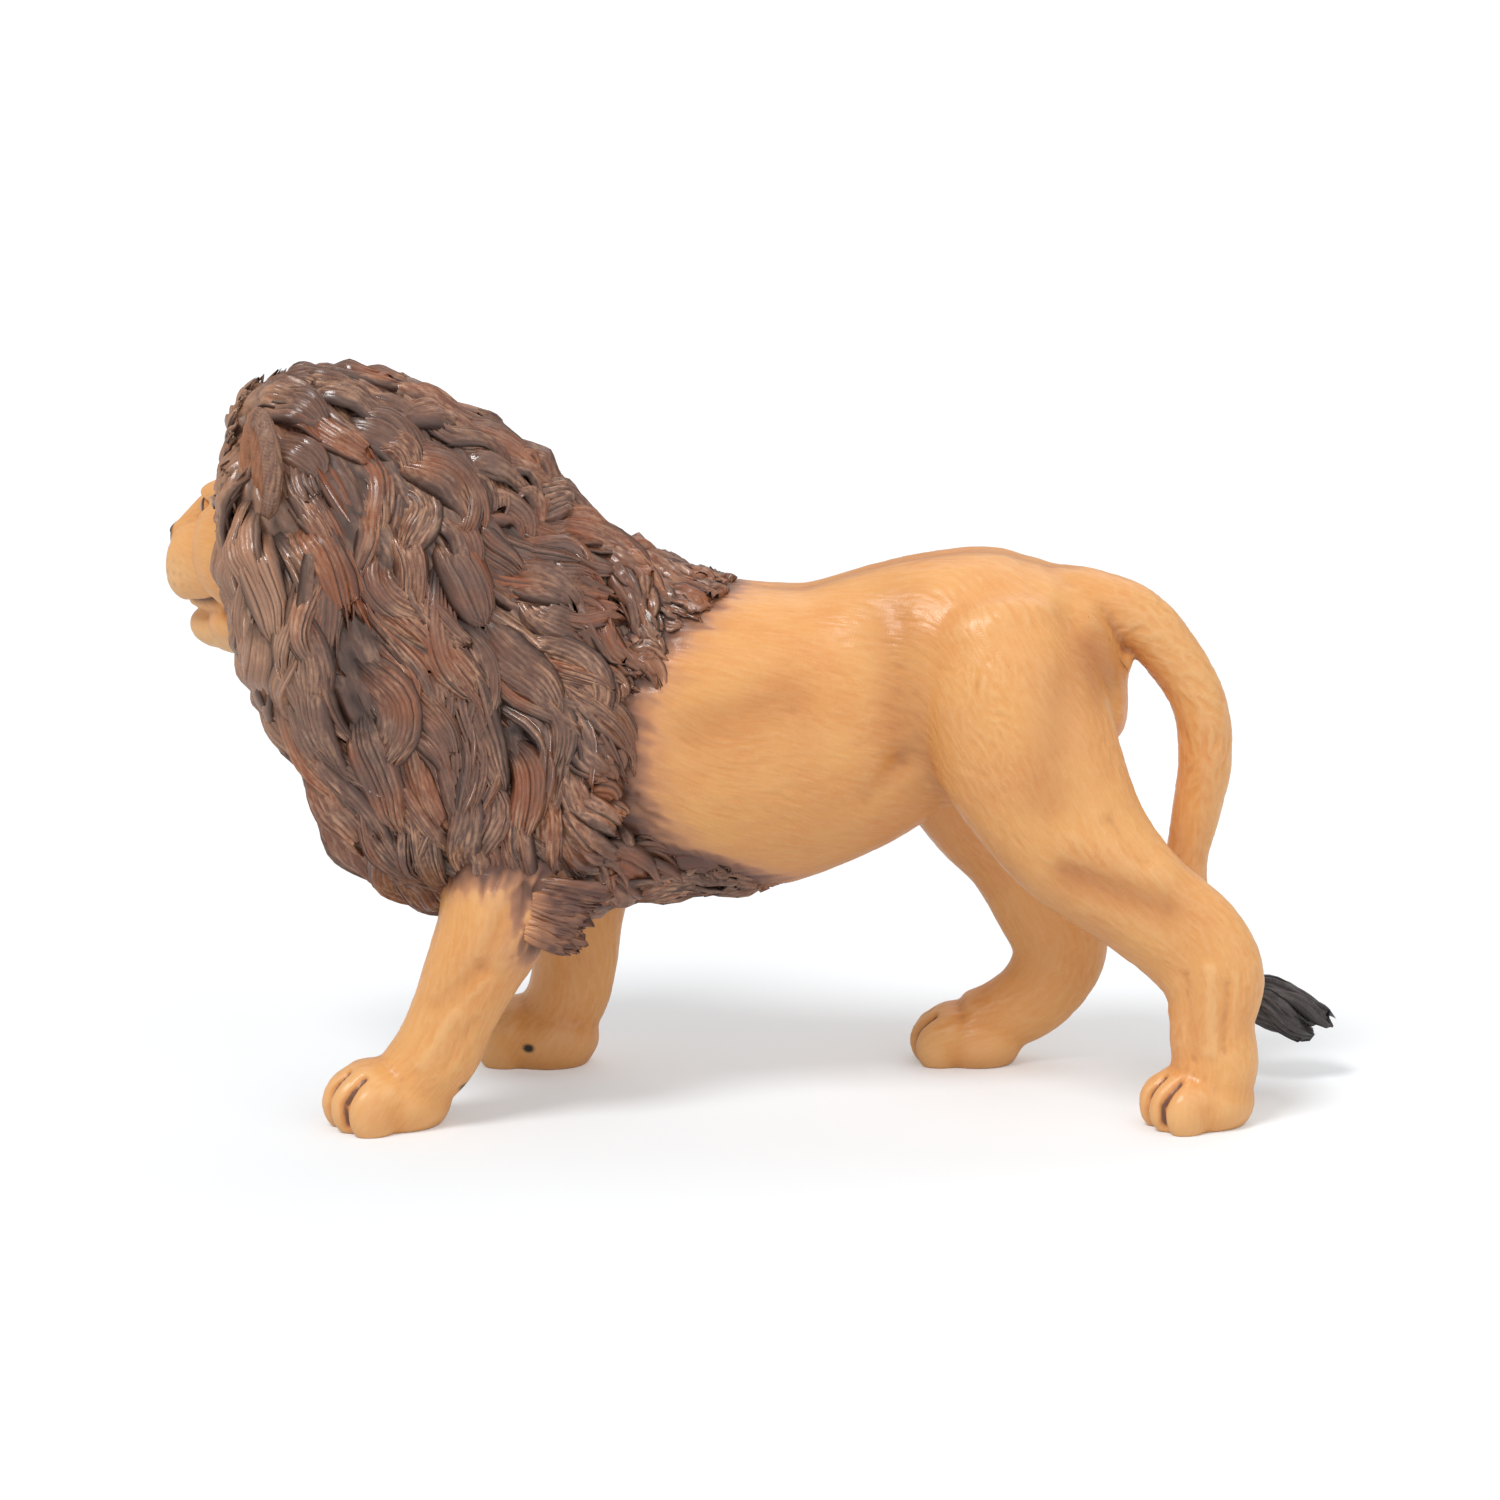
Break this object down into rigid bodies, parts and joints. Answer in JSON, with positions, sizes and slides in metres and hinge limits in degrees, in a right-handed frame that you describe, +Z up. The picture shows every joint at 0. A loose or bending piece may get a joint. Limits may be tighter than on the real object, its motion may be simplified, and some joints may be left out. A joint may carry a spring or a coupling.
{
  "type": "toy wild animal figure",
  "caption": "Toy male lion walking with its head turned to its right: full carved mane, plain smooth face, four flat-soled paws and a tail bowed down behind the hocks.",
  "frame": {"origin": "on the floor under the middle of the figure's bounding box, between the four paws", "axes": "+X towards the tail (the lion walks towards -X), +Y towards the lion's right side, +Z up"},
  "size_m": [0.142, 0.0454, 0.0882],
  "materials": {
    "tan_vinyl": "soft vinyl, satin, sprayed brown in the hollows",
    "mane_vinyl": "soft vinyl, semi-gloss brown with lighter brushed ridges",
    "tuft_vinyl": "soft vinyl, satin black-brown"
  },
  "bodies": {
    "root": {"torso": "tan_vinyl", "head": "tan_vinyl", "mane": "mane_vinyl", "left_foreleg": "tan_vinyl", "right_foreleg": "tan_vinyl", "left_hind_leg": "tan_vinyl", "right_hind_leg": "tan_vinyl", "tail": "tan_vinyl", "tail_tuft": "tuft_vinyl"}
  },
  "joints": []
}
